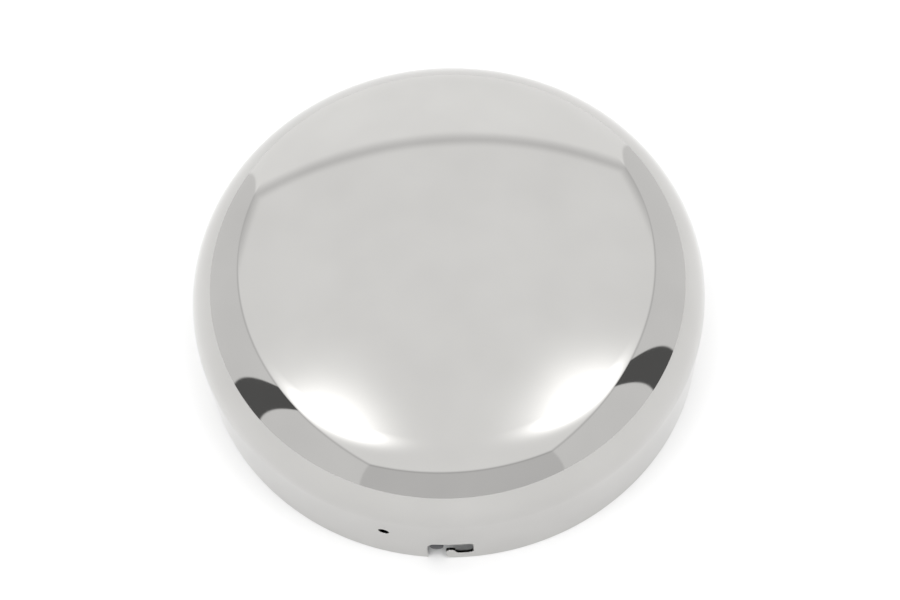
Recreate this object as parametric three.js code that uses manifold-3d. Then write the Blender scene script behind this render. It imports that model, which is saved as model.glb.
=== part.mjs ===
// A round bayonet air filter housing for a motorcycle carburettor, in millimetres, +Z up.
// The origin is on the axis, in the plane of the cover's rim, which is the plane it stands on.
// It is drawn with the cover pressed home and not yet turned, so each stud is at the top of its
// slot's mouth. Air comes in through the ring-shaped gap between the cover's rim and the plate.
import * as THREE from "three";
import { mergeVertices } from "three/addons/utils/BufferGeometryUtils.js";
import Module from "manifold-3d";

const wasm = await Module();
wasm.setup();

// ---- driving dimensions ----
const GAP = 0.3; // left between pieces that touch

const COVER_RADIUS = 88.9;
const COVER_HEIGHT = 63.5;
const COVER_SHEET = 1.2;
const WALL_HEIGHT = 27;
const SHOULDER_RADIUS = 27.5;

const SLOT_COUNT = 3;
const SLOT_TOP = 12.2;
const SLOT_MOUTH = 6;
const SLOT_END = 12.35; // across, from the middle of the mouth
const SLOT_END_RADIUS = 1.6;
const SLOT_HEEL = { across: 2.6, up: 4.2 }; // the long round corner over the mouth
const BUMP_TOP = 6.8;
const BUMP_END = 5.4;
const BUMP_RADIUS = 1.8;
const BUMP_SLOPE = { top: 1.1, foot: 0.8 }; // lengths of the curve's two handles
const LIP = { across: 1.6, up: 3 };
const POCKET_START = 7.5;
const POCKET_FLOOR = 4.1;

const LOCK_HOLE_RADIUS = 1.8;
const LOCK_HOLE_HEIGHT = 18.4;
const LOCK_HOLE_TURN = THREE.MathUtils.degToRad(-11);

const PLATE_RADIUS = 84;
const PLATE_SHEET = 1.2;
const PLATE_TOP = 16;
const PLATE_BEND = 3;
const SEAT_RADIUS = 62.7;
const SEAT_TOP = 14.5;
const SEAT_SLOPE = 0.5;
const DISH_RADIUS = 40.5;
const DISH_SLOPE = 3.5;
const DISH_FLOOR = 10;
const THROAT_RADIUS = 26;
const THROAT_TOP = 17.5;
const THROAT_BEND = 1;
const SLOPE_OFFSET = 0.8 * PLATE_SHEET; // from a slope's upper side to its underside

const STUD_HEIGHT = 9.5;
const STUD_PIN_RADIUS = 2.4;
const STUD_SHANK_RADIUS = 2.3;
const STUD_HOLE_RADIUS = 2.7;
const STUD_COLLAR = { radius: 4.2, top: 2 };
const STUD_INNER_END = -7.5;
const STUD_BELOW_FLUSH = 0.2;
const STUD_EDGE = 0.4;
const WASHER = { radius: 4.2, sheet: 0.9, clearance: 0.5 };
const NUT_HEIGHT = 3.4;
const HEX_ACROSS_FLATS = 8;

const SCREW_COUNT = 4;
const SCREW_CIRCLE_RADIUS = 34;
const SCREW_RADIUS = 2.4;
const SCREW_HOLE_RADIUS = 2.8;
const SCREW_TIP = 1.5;
const SCREW_HEAD_HEIGHT = 3;
const FIRST_SCREW = Math.PI / 4;
const GASKET_SHEET = 1.3;
const GASKET_INSET = 1; // from the dish's wall
const CLAMP_SHEET = 2;
const CLAMP_INSET = 1.5;
const TAB_SHEET = 0.8;
const TAB = { width: 6, height: 3 };
const TAB_STRIP_INNER_RADIUS = 30;
const TAB_STRIP_HALF_SPAN = THREE.MathUtils.degToRad(53);

const ELEMENT_RADIUS = 62;
const ELEMENT_BORE_RADIUS = 36;
const ELEMENT_BASE = 17.3;
const ELEMENT_TOP = 48.5;
const ELEMENT_SHEET = 0.8;
const CAP_LIP = 4;
const CAP_WELL = { depth: 3, bottomRadius: 26, topRadius: 30 };
const TUBE_CLEARANCE = 0.4;
const SEAL = { inner: 45.5, outer: 61.5 };
const INNER_WINDOWS = { count: 12, width: 9, height: 22 };
const OUTER_WINDOWS = { count: 18, width: 12, height: 20 };

const PAD = { inner: 38, outer: 51, sheet: 0.8 };
const RING_SHEET = 1;
const SPRING_ARMS = 3;
const SPRING_SHEET = 0.8;
const SPRING_HUB = { radius: 14, height: 59.5 };
const SPRING_ARM = { start: 12, end: 40, width: 10, steps: 8 };
const SPRING_FOOT = { rivet: 45, end: 49 };
const RIVET = { radius: 1.6, hole: 1.9, head: 3, crown: 2.2, shoulder: 1.2, height: 1.5 };

const PIVOT = { radius: 4, hole: 4.5, end: 57.3, edge: 0.4, flange: 9, clearance: 0.7 };
const CLIP_GROOVE = { radius: 3.2, bottom: 58.1, top: 59.1 };
const CLIP = { inner: 3.5, outer: 7, bottom: 58.3, top: 58.9, mouth: 4.5 };

const FINE = 48;
const COARSE = 36;
const SMALL = 18;
const TINY = 12;

// ---- finishes ----
const finish = (color, roughness, metalness) =>
  new THREE.MeshStandardMaterial({ color, roughness, metalness });
const polishedStainless = finish(0xd4d4d0, 0.06, 1);
const zincPlate = finish(0xa9abac, 0.38, 1);
const blackOxide = finish(0x3c3d40, 0.5, 1);
const springSteel = finish(0x5d6472, 0.3, 1);
const wireMesh = finish(0xb89a6a, 0.45, 1);
const felt = finish(0x8a8478, 0.95, 0);
const gasketFibre = finish(0x5b6b5f, 0.85, 0);

// ---- solids: a closed geometry goes in, and a cut or joined one comes out ----
function solidOf(geometry) {
  const bare = geometry.clone();
  bare.deleteAttribute("normal");
  bare.deleteAttribute("uv");
  const merged = mergeVertices(bare);
  return new wasm.Manifold(
    new wasm.Mesh({
      numProp: 3,
      vertProperties: merged.attributes.position.array,
      triVerts: new Uint32Array(merged.index.array),
    }),
  );
}

function geometryOf(solid) {
  const mesh = solid.getMesh();
  const indexed = new THREE.BufferGeometry();
  indexed.setAttribute("position", new THREE.BufferAttribute(mesh.vertProperties, 3));
  indexed.setIndex(new THREE.BufferAttribute(mesh.triVerts, 1));
  const flat = indexed.toNonIndexed();
  flat.computeVertexNormals();
  return flat;
}

function cut(body, cutters) {
  const whole = solidOf(body);
  return geometryOf(cutters.reduce((left, cutter) => left.subtract(solidOf(cutter)), whole));
}

function joined(geometries) {
  const [first, ...others] = geometries.map(solidOf);
  return geometryOf(others.reduce((sum, other) => sum.add(other), first));
}

// ---- basic shapes ----
// A profile of [radius, height] points turned about Z: out along the bottom, up and back in.
function turned(profile, segments = COARSE) {
  const points = profile.map(([radius, height]) => new THREE.Vector2(radius, height));
  const endsOnAxis = profile[0][0] === 0 && profile.at(-1)[0] === 0;
  if (!endsOnAxis) points.push(points[0].clone());
  return new THREE.LatheGeometry(points, segments).rotateX(Math.PI / 2);
}

function disc(radius, bottom, top, segments = SMALL) {
  return turned([[0, bottom], [radius, bottom], [radius, top], [0, top]], segments);
}

function ring(inner, outer, bottom, top, segments = COARSE) {
  return turned([[outer, bottom], [outer, top], [inner, top], [inner, bottom]], segments);
}

function hexagon(bottom, top) {
  return disc(HEX_ACROSS_FLATS / Math.sqrt(3), bottom, top, 6);
}

function plateOf(shape, bottom, top, curveSegments) {
  const settings = { depth: top - bottom, bevelEnabled: false, curveSegments };
  return new THREE.ExtrudeGeometry(shape, settings).translate(0, 0, bottom);
}

// Points on an arc in a profile's plane, from one angle to another.
function arc(centreRadius, centreHeight, radius, from, to, steps) {
  return Array.from({ length: steps + 1 }, (_, i) => {
    const angle = from + ((to - from) * i) / steps;
    return [centreRadius + radius * Math.cos(angle), centreHeight + radius * Math.sin(angle)];
  });
}

const turnsOf = (count, first = 0) =>
  Array.from({ length: count }, (_, i) => first + (i * 2 * Math.PI) / count);

// ---- cover: a drawn dome with an upright wall, a round shoulder and a shallow crown ----
// The crown's radius is the one that runs into the shoulder without a corner.
function domeProfile(inset) {
  const reach = COVER_RADIUS - SHOULDER_RADIUS;
  const rise = COVER_HEIGHT - WALL_HEIGHT - SHOULDER_RADIUS;
  const crown = SHOULDER_RADIUS + (reach * reach + rise * rise) / (2 * rise);
  const meet = Math.acos(reach / (crown - SHOULDER_RADIUS));
  const shoulder = arc(reach, WALL_HEIGHT, SHOULDER_RADIUS - inset, 0, meet, 6);
  const top = arc(0, COVER_HEIGHT - crown, crown - inset, meet, Math.PI / 2, 3).slice(1, -1);
  return [[COVER_RADIUS - inset, 0], ...shoulder, ...top, [0, COVER_HEIGHT - inset]];
}

// The slot seen from outside: a mouth at the rim, then a leg to the right with a bump in its
// floor and a pocket behind the bump, where the stud comes to rest.
function slotShape() {
  const left = -SLOT_MOUTH / 2;
  const tongue = SLOT_MOUTH / 2;
  const belowRim = -2;
  const heelStart = SLOT_TOP - SLOT_HEEL.up;
  const heelX = left + SLOT_HEEL.across;
  const endX = SLOT_END - SLOT_END_RADIUS;
  const bumpX = tongue + BUMP_RADIUS;
  const lipX = tongue + LIP.across;
  const shape = new THREE.Shape();
  shape.moveTo(left, belowRim);
  shape.lineTo(left, heelStart);
  shape.absellipse(heelX, heelStart, SLOT_HEEL.across, SLOT_HEEL.up, Math.PI, Math.PI / 2, true);
  shape.lineTo(endX, SLOT_TOP);
  shape.absarc(endX, SLOT_TOP - SLOT_END_RADIUS, SLOT_END_RADIUS, Math.PI / 2, 0, true);
  shape.lineTo(SLOT_END, POCKET_FLOOR + SLOT_END_RADIUS);
  shape.absarc(endX, POCKET_FLOOR + SLOT_END_RADIUS, SLOT_END_RADIUS, 0, -Math.PI / 2, true);
  shape.lineTo(POCKET_START, POCKET_FLOOR);
  const foot = POCKET_START - BUMP_SLOPE.foot;
  shape.bezierCurveTo(foot, POCKET_FLOOR, BUMP_END + BUMP_SLOPE.top, BUMP_TOP, BUMP_END, BUMP_TOP);
  shape.lineTo(bumpX, BUMP_TOP);
  shape.absarc(bumpX, BUMP_TOP - BUMP_RADIUS, BUMP_RADIUS, Math.PI / 2, Math.PI, false);
  shape.lineTo(tongue, LIP.up);
  shape.absellipse(lipX, LIP.up, LIP.across, LIP.up, Math.PI, (3 * Math.PI) / 2, false);
  shape.lineTo(lipX, belowRim);
  shape.closePath();
  return shape;
}

function coverGeometry() {
  const depth = 12;
  const shell = turned([...domeProfile(COVER_SHEET).reverse(), ...domeProfile(0)], FINE);
  const slot = plateOf(slotShape(), -depth / 2, depth / 2, 4)
    .rotateX(Math.PI / 2)
    .translate(0, -COVER_RADIUS, 0);
  const slots = turnsOf(SLOT_COUNT).map((turn) => slot.clone().rotateZ(turn));
  const lockHole = disc(LOCK_HOLE_RADIUS, -depth / 2, depth / 2, TINY)
    .rotateX(Math.PI / 2)
    .translate(0, -COVER_RADIUS, LOCK_HOLE_HEIGHT)
    .rotateZ(LOCK_HOLE_TURN);
  return cut(shell, [...slots, lockHole]);
}

// ---- hold-down pivot: a headed pin welded under the crown, with a spring clip in its groove ----
const HUB_TOP = SPRING_HUB.height + SPRING_SHEET;

function pivotGeometry() {
  const { radius, end, edge, flange } = PIVOT;
  const top = COVER_HEIGHT - COVER_SHEET - PIVOT.clearance;
  const seat = HUB_TOP + GAP;
  return turned(
    [
      [0, end],
      [radius - edge, end],
      [radius, end + edge],
      [radius, CLIP_GROOVE.bottom],
      [CLIP_GROOVE.radius, CLIP_GROOVE.bottom],
      [CLIP_GROOVE.radius, CLIP_GROOVE.top],
      [radius, CLIP_GROOVE.top],
      [radius, seat],
      [flange, seat],
      [flange, top],
      [0, top],
    ],
    SMALL,
  );
}

function clipGeometry() {
  const mouth = new THREE.BoxGeometry(CLIP.outer, CLIP.mouth, CLIP.outer);
  mouth.translate(CLIP.outer / 2 + 1, 0, CLIP.bottom);
  return cut(ring(CLIP.inner, CLIP.outer, CLIP.bottom, CLIP.top, SMALL), [mouth]);
}

// ---- hold-down: a three-armed leaf spring riveted to a pressure ring with a felt face ----
const PAD_BOTTOM = ELEMENT_TOP + GAP;
const PAD_TOP = PAD_BOTTOM + PAD.sheet;
const RING_BOTTOM = PAD_TOP + GAP;
const RING_TOP = RING_BOTTOM + RING_SHEET;
const FOOT_BOTTOM = RING_TOP + GAP;

const rivetHoles = () =>
  turnsOf(SPRING_ARMS).map((turn) =>
    disc(RIVET.hole, RING_BOTTOM - 1, FOOT_BOTTOM + 2, TINY)
      .translate(SPRING_FOOT.rivet, 0, 0)
      .rotateZ(turn),
  );

// An arm falls from the hub to its foot along half a cosine wave.
function springArmGeometry() {
  const { start, end, width, steps } = SPRING_ARM;
  const slope = Array.from({ length: steps + 1 }, (_, i) => {
    const share = i / steps;
    const height = (1 + Math.cos(Math.PI * share)) / 2;
    return [start + (end - start) * share, FOOT_BOTTOM + (SPRING_HUB.height - FOOT_BOTTOM) * height];
  });
  const under = [...slope, [SPRING_FOOT.end, FOOT_BOTTOM]];
  const over = under.map(([x, z]) => [x, z + SPRING_SHEET]).reverse();
  const side = new THREE.Shape([...under, ...over].map(([x, z]) => new THREE.Vector2(x, z)));
  return plateOf(side, -width / 2, width / 2, 1).rotateX(Math.PI / 2);
}

function springGeometry() {
  const hub = disc(SPRING_HUB.radius, SPRING_HUB.height, HUB_TOP);
  const arm = springArmGeometry();
  const arms = turnsOf(SPRING_ARMS).map((turn) => arm.clone().rotateZ(turn));
  const hole = disc(PIVOT.hole, FOOT_BOTTOM, COVER_HEIGHT);
  return cut(joined([hub, ...arms]), [hole, ...rivetHoles()]);
}

const pressureRingGeometry = () => cut(ring(PAD.inner, PAD.outer, RING_BOTTOM, RING_TOP), rivetHoles());

function rivetGeometry() {
  const head = FOOT_BOTTOM + SPRING_SHEET + GAP;
  return turned(
    [
      [0, RING_BOTTOM],
      [RIVET.radius, RING_BOTTOM],
      [RIVET.radius, head],
      [RIVET.head, head],
      [RIVET.crown, head + RIVET.shoulder],
      [0, head + RIVET.height],
    ],
    TINY,
  );
}

// ---- filter element: two caps, two perforated tubes, the wire mesh and a felt ring ----
const TUBE_BOTTOM = ELEMENT_BASE + ELEMENT_SHEET + GAP;
const TUBE_TOP = ELEMENT_TOP - ELEMENT_SHEET - GAP;
const INNER_TUBE_RADIUS = ELEMENT_BORE_RADIUS + ELEMENT_SHEET + TUBE_CLEARANCE;
const OUTER_SCREEN_RADIUS = ELEMENT_RADIUS - 2 * ELEMENT_SHEET - TUBE_CLEARANCE;

function windowedTube(inner, windows) {
  const cutter = new THREE.BoxGeometry(CAP_LIP * 2, windows.width, windows.height);
  cutter.translate(inner, 0, (TUBE_BOTTOM + TUBE_TOP) / 2);
  const tube = ring(inner, inner + ELEMENT_SHEET, TUBE_BOTTOM, TUBE_TOP, FINE);
  return cut(tube, turnsOf(windows.count).map((turn) => cutter.clone().rotateZ(turn)));
}

function baseCapGeometry() {
  const t = ELEMENT_SHEET;
  const lip = ELEMENT_BASE + CAP_LIP;
  return turned([
    [ELEMENT_RADIUS, ELEMENT_BASE],
    [ELEMENT_RADIUS, lip],
    [ELEMENT_RADIUS - t, lip],
    [ELEMENT_RADIUS - t, ELEMENT_BASE + t],
    [ELEMENT_BORE_RADIUS + t, ELEMENT_BASE + t],
    [ELEMENT_BORE_RADIUS + t, lip],
    [ELEMENT_BORE_RADIUS, lip],
    [ELEMENT_BORE_RADIUS, ELEMENT_BASE],
  ]);
}

// The top cap closes the element, and its middle is sunk for stiffness.
function topCapGeometry() {
  const t = ELEMENT_SHEET;
  const lip = ELEMENT_TOP - CAP_LIP;
  const well = ELEMENT_TOP - CAP_WELL.depth;
  return turned([
    [0, well - t],
    [CAP_WELL.bottomRadius, well - t],
    [CAP_WELL.topRadius, ELEMENT_TOP - t],
    [ELEMENT_RADIUS - t, ELEMENT_TOP - t],
    [ELEMENT_RADIUS - t, lip],
    [ELEMENT_RADIUS, lip],
    [ELEMENT_RADIUS, ELEMENT_TOP],
    [CAP_WELL.topRadius, ELEMENT_TOP],
    [CAP_WELL.bottomRadius, well],
    [0, well],
  ]);
}

function wireMeshGeometry() {
  const inner = INNER_TUBE_RADIUS + ELEMENT_SHEET + TUBE_CLEARANCE;
  return ring(inner, OUTER_SCREEN_RADIUS - TUBE_CLEARANCE, TUBE_BOTTOM, TUBE_TOP);
}

const baseSealGeometry = () => ring(SEAL.inner, SEAL.outer, SEAT_TOP + GAP, ELEMENT_BASE - GAP);

// ---- backing plate: an upturned pan with a sunk seat, a sunk dish and a raised throat ----
const screwHoles = () =>
  turnsOf(SCREW_COUNT, FIRST_SCREW).map((turn) =>
    disc(SCREW_HOLE_RADIUS, 0, PLATE_TOP).translate(SCREW_CIRCLE_RADIUS, 0, 0).rotateZ(turn),
  );

const studHoles = () =>
  turnsOf(SLOT_COUNT).map((turn) =>
    disc(STUD_HOLE_RADIUS, -PLATE_BEND, PLATE_BEND)
      .rotateX(Math.PI / 2)
      .translate(0, -PLATE_RADIUS, STUD_HEIGHT)
      .rotateZ(turn),
  );

function backingPlateGeometry() {
  const t = PLATE_SHEET;
  const shoulder = PLATE_RADIUS - PLATE_BEND;
  const throatBend = THROAT_RADIUS + t + THROAT_BEND;
  const upper = [
    [PLATE_RADIUS, 0],
    ...arc(shoulder, PLATE_TOP - PLATE_BEND, PLATE_BEND, 0, Math.PI / 2, 3),
    [SEAT_RADIUS + SEAT_SLOPE, PLATE_TOP],
    [SEAT_RADIUS, SEAT_TOP],
    [DISH_RADIUS + DISH_SLOPE, SEAT_TOP],
    [DISH_RADIUS, DISH_FLOOR],
    ...arc(throatBend, DISH_FLOOR + THROAT_BEND, THROAT_BEND, -Math.PI / 2, -Math.PI, 2),
    [THROAT_RADIUS + t, THROAT_TOP],
  ];
  const under = [
    [THROAT_RADIUS, THROAT_TOP],
    ...arc(throatBend, DISH_FLOOR + THROAT_BEND, THROAT_BEND + t, Math.PI, (3 * Math.PI) / 2, 3),
    [DISH_RADIUS + SLOPE_OFFSET, DISH_FLOOR - t],
    [DISH_RADIUS + DISH_SLOPE + SLOPE_OFFSET, SEAT_TOP - t],
    [SEAT_RADIUS + SLOPE_OFFSET, SEAT_TOP - t],
    [SEAT_RADIUS + SEAT_SLOPE + SLOPE_OFFSET, PLATE_TOP - t],
    ...arc(shoulder, PLATE_TOP - PLATE_BEND, PLATE_BEND - t, Math.PI / 2, 0, 2),
    [PLATE_RADIUS - t, 0],
  ];
  return cut(turned([...upper, ...under], FINE), [...screwHoles(), ...studHoles()]);
}

// ---- carburettor joint: gasket, clamp ring, two tab plates and four hexagon screws ----
const GASKET_TOP = DISH_FLOOR - PLATE_SHEET - GAP;
const CLAMP_BOTTOM = DISH_FLOOR + GAP;
const CLAMP_TOP = CLAMP_BOTTOM + CLAMP_SHEET;
const STRIP_BOTTOM = CLAMP_TOP + GAP;
const HEAD_BOTTOM = STRIP_BOTTOM + TAB_SHEET + GAP;

function gasketGeometry() {
  const outer = DISH_RADIUS - GASKET_INSET;
  const sheet = ring(THROAT_RADIUS + GAP, outer, GASKET_TOP - GASKET_SHEET, GASKET_TOP);
  return cut(sheet, screwHoles());
}

function clampRingGeometry() {
  const inner = THROAT_RADIUS + PLATE_SHEET + THROAT_BEND + GAP;
  return cut(ring(inner, DISH_RADIUS - CLAMP_INSET, CLAMP_BOTTOM, CLAMP_TOP), screwHoles());
}

// A tab plate lies under two screw heads, with a tab bent up against the outer flat of each.
function tabPlateGeometry() {
  const tabFace = SCREW_CIRCLE_RADIUS + HEX_ACROSS_FLATS / 2 + GAP;
  const outer = Math.hypot(tabFace + TAB_SHEET, TAB.width / 2);
  const shape = new THREE.Shape();
  shape.absarc(0, 0, outer, -TAB_STRIP_HALF_SPAN, TAB_STRIP_HALF_SPAN, false);
  shape.absarc(0, 0, TAB_STRIP_INNER_RADIUS, TAB_STRIP_HALF_SPAN, -TAB_STRIP_HALF_SPAN, true);
  const strip = plateOf(shape, STRIP_BOTTOM, STRIP_BOTTOM + TAB_SHEET, 10);
  const tab = new THREE.BoxGeometry(TAB_SHEET, TAB.width, TAB.height);
  tab.translate(tabFace + TAB_SHEET / 2, 0, STRIP_BOTTOM + TAB.height / 2);
  const tabs = [tab.clone().rotateZ(-FIRST_SCREW), tab.clone().rotateZ(FIRST_SCREW)];
  return cut(joined([strip, ...tabs]), screwHoles());
}

function screwGeometry() {
  const head = hexagon(HEAD_BOTTOM, HEAD_BOTTOM + SCREW_HEAD_HEIGHT);
  return joined([head, disc(SCREW_RADIUS, SCREW_TIP, HEAD_BOTTOM + SCREW_HEAD_HEIGHT / 2)]);
}

// ---- bayonet stud with its washer and nut, drawn along +Z with the plate's skirt at 0 ----
const STUD_OUTER_END = COVER_RADIUS - PLATE_RADIUS - STUD_BELOW_FLUSH;
const WASHER_TOP = -PLATE_SHEET - WASHER.clearance;
const NUT_TOP = WASHER_TOP - WASHER.sheet - GAP;

function studGeometry() {
  return turned(
    [
      [0, STUD_INNER_END],
      [STUD_SHANK_RADIUS - STUD_EDGE, STUD_INNER_END],
      [STUD_SHANK_RADIUS, STUD_INNER_END + STUD_EDGE],
      [STUD_SHANK_RADIUS, GAP],
      [STUD_COLLAR.radius, GAP],
      [STUD_COLLAR.radius, STUD_COLLAR.top],
      [STUD_PIN_RADIUS, STUD_COLLAR.top],
      [STUD_PIN_RADIUS, STUD_OUTER_END - STUD_EDGE],
      [STUD_PIN_RADIUS - STUD_EDGE, STUD_OUTER_END],
      [0, STUD_OUTER_END],
    ],
    SMALL,
  );
}

const washerGeometry = () =>
  ring(STUD_HOLE_RADIUS, WASHER.radius, WASHER_TOP - WASHER.sheet, WASHER_TOP, SMALL);

function nutGeometry() {
  const bottom = NUT_TOP - NUT_HEIGHT;
  return cut(hexagon(bottom, NUT_TOP), [disc(STUD_HOLE_RADIUS, bottom - 1, NUT_TOP + 1)]);
}

// ---- assembly ----
const housing = new THREE.Group();

function add(parent, name, geometry, material) {
  const mesh = new THREE.Mesh(geometry, material);
  mesh.name = name;
  parent.add(mesh);
  return mesh;
}

// A group turned about Z, in which a repeated piece is placed.
function stationAt(turn) {
  const station = new THREE.Group();
  station.rotation.z = turn;
  housing.add(station);
  return station;
}

add(housing, "cover", coverGeometry(), polishedStainless);
add(housing, "cover_pivot", pivotGeometry(), zincPlate);
add(housing, "pivot_clip", clipGeometry(), springSteel);

add(housing, "hold_down_spring", springGeometry(), springSteel);
add(housing, "pressure_ring", pressureRingGeometry(), zincPlate);
add(housing, "pressure_pad", ring(PAD.inner, PAD.outer, PAD_BOTTOM, PAD_TOP), felt);
turnsOf(SPRING_ARMS).forEach((turn, i) => {
  const rivet = add(stationAt(turn), `spring_rivet_${i + 1}`, rivetGeometry(), zincPlate);
  rivet.position.x = SPRING_FOOT.rivet;
});

add(housing, "element_top_cap", topCapGeometry(), zincPlate);
add(housing, "element_base_cap", baseCapGeometry(), zincPlate);
add(housing, "element_inner_tube", windowedTube(INNER_TUBE_RADIUS, INNER_WINDOWS), zincPlate);
add(housing, "element_outer_screen", windowedTube(OUTER_SCREEN_RADIUS, OUTER_WINDOWS), zincPlate);
add(housing, "element_wire_mesh", wireMeshGeometry(), wireMesh);
add(housing, "element_base_seal", baseSealGeometry(), felt);

add(housing, "backing_plate", backingPlateGeometry(), zincPlate);
add(housing, "carburettor_gasket", gasketGeometry(), gasketFibre);
add(housing, "clamp_ring", clampRingGeometry(), zincPlate);
turnsOf(SCREW_COUNT / 2).forEach((turn, i) => {
  add(stationAt(turn), `tab_plate_${i + 1}`, tabPlateGeometry(), zincPlate);
});
turnsOf(SCREW_COUNT, FIRST_SCREW).forEach((turn, i) => {
  const screw = add(stationAt(turn), `mounting_screw_${i + 1}`, screwGeometry(), blackOxide);
  screw.position.x = SCREW_CIRCLE_RADIUS;
});

// The group's own +Z points straight out through the skirt.
turnsOf(SLOT_COUNT).forEach((turn, i) => {
  const outwards = new THREE.Group();
  outwards.rotation.x = Math.PI / 2;
  outwards.position.set(0, -PLATE_RADIUS, STUD_HEIGHT);
  stationAt(turn).add(outwards);
  add(outwards, `bayonet_stud_${i + 1}`, studGeometry(), blackOxide);
  add(outwards, `stud_washer_${i + 1}`, washerGeometry(), zincPlate);
  add(outwards, `stud_nut_${i + 1}`, nutGeometry(), zincPlate);
});

export default housing;
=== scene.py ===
import bmesh
import bpy
import numpy as np
from mathutils import Matrix, Vector


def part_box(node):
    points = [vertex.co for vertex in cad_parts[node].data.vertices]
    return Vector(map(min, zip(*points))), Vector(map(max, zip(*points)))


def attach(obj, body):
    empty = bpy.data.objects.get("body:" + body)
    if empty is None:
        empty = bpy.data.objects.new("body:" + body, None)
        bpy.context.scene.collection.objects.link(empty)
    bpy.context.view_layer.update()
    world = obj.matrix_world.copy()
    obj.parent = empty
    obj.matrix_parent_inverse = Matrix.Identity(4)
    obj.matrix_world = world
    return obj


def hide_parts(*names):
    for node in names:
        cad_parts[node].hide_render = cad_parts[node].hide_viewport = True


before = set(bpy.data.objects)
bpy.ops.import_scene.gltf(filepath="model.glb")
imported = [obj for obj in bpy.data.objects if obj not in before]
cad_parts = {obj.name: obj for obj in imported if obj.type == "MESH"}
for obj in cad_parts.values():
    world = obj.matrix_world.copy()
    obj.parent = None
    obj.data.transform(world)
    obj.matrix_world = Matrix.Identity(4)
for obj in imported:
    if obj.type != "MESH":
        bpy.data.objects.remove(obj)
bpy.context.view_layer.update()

# A round bayonet air filter housing: a mirror polished cover over a sprung filter element and a
# zinc plated backing plate. Sizes are in millimetres, and make() turns them into metres.
MM = 0.001
TAU = 2 * np.pi


def span(cad_node):
    """The lowest and highest corner of a CAD node, in millimetres."""
    low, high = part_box(cad_node)
    return np.array(low) / MM, np.array(high) / MM


# ---- driving dimensions, from the frame where it has them ----
COVER_HIGH = span("cover")[1]
COVER_RADIUS = COVER_HIGH[0]
COVER_HEIGHT = COVER_HIGH[2]
COVER_SHEET = 1.2
WALL_HEIGHT = 27.0
SHOULDER_RADIUS = 27.5

SLOT_TURNS = np.radians([0, 120, 240])
SLOT_MOUTH = 6.0
SLOT_TOP = 12.2
SLOT_END = 12.35
SLOT_HEEL_UP, SLOT_HEEL_ALONG, SLOT_END_ROUND = 4.2, 2.6, 1.6
BUMP_TOP, BUMP_END, BUMP_ROUND = 6.8, 6.1, 1.8
POCKET_FLOOR, POCKET_START = 4.1, 6.9
LIP_UP, LIP_ALONG = 3.0, 1.6
BELOW_RIM = 2.0  # how far the slots' cutters reach past the rim
CUT_EDGE = 0.22  # radius of the deburred edges of the cover's slots and hole
LOCK_HOLE = {"radius": 1.8, "height": 18.4, "turn": np.radians(-11)}

PLATE_RADIUS = span("backing_plate")[1][0]
PLATE_SHEET = 1.2
STUD_LOW, STUD_HIGH = span("bayonet_stud_1")
STUD_HEIGHT = (STUD_LOW[2] + STUD_HIGH[2]) / 2
SCREW_CIRCLE = 34.0
SCREW_HOLE, STUD_HOLE = 2.8, 2.7
SCREW_TURNS = np.radians([45, 135, 225, 315])
SPRING_TURNS = np.radians([0, 120, 240])
SPRING_SHEET = 0.8
SPRING_HOLE = 4.5
RIVET_CIRCLE = 45.0

# ---- camera: close above the cover, a little to the right of the front slot ----
CAMERA_TURN = np.radians(6.65)
CAMERA_ELEVATION = np.radians(60.32)
CAMERA_ROLL = np.radians(-4.27)
CAMERA_DISTANCE = 542.8
CAMERA_TARGET = Vector((0, 0, 30))


def add_camera():
    """Back is the unit vector from the target to the camera. X and Y are then turned by the roll."""
    flat = np.cos(CAMERA_ELEVATION)
    back = Vector((
        flat * np.sin(CAMERA_TURN), -flat * np.cos(CAMERA_TURN), np.sin(CAMERA_ELEVATION),
    ))
    right = Vector((np.cos(CAMERA_TURN), np.sin(CAMERA_TURN), 0))
    up = back.cross(right)
    turned_x = right * np.cos(CAMERA_ROLL) + up * np.sin(CAMERA_ROLL)
    turned_y = up * np.cos(CAMERA_ROLL) - right * np.sin(CAMERA_ROLL)
    camera = bpy.data.objects.new("camera", bpy.data.cameras.new("camera"))
    bpy.context.collection.objects.link(camera)
    axes = Matrix((turned_x, turned_y, back)).transposed().to_4x4()
    camera.matrix_world = Matrix.Translation((CAMERA_TARGET + back * CAMERA_DISTANCE) * MM) @ axes
    camera.data.sensor_width = 36
    camera.data.lens = 62.48
    camera.data.shift_x = 0.0027
    camera.data.shift_y = -0.0182
    camera.data.clip_start = 0.01
    bpy.context.scene.camera = camera


# ---- materials ----
def linear(code):
    """An sRGB hex colour as linear RGBA."""
    channels = np.array([int(code[i:i + 2], 16) for i in (0, 2, 4)]) / 255
    low, high = channels / 12.92, ((channels + 0.055) / 1.055) ** 2.4
    return (*np.where(channels <= 0.04045, low, high), 1.0)


def node(tree, kind, inputs=None, stops=None, **settings):
    """Adds a node. An input's value is a constant, a node (its first output) or an output socket.
    Stops are (position, colour) pairs, and a number stands for a grey."""
    made = tree.nodes.new(kind)
    for name, value in settings.items():
        setattr(made, name, value)
    for name, value in (inputs or {}).items():
        if isinstance(value, bpy.types.Node):
            value = value.outputs[0]
        if isinstance(value, bpy.types.NodeSocket):
            tree.links.new(value, made.inputs[name])
        else:
            made.inputs[name].default_value = value
    if stops:
        elements = made.color_ramp.elements
        while len(elements) < len(stops):
            elements.new(1.0)
        for element, (position, colour) in zip(elements, stops):
            element.position = position
            element.color = colour if np.ndim(colour) else (colour, colour, colour, 1.0)
    return made


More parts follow.
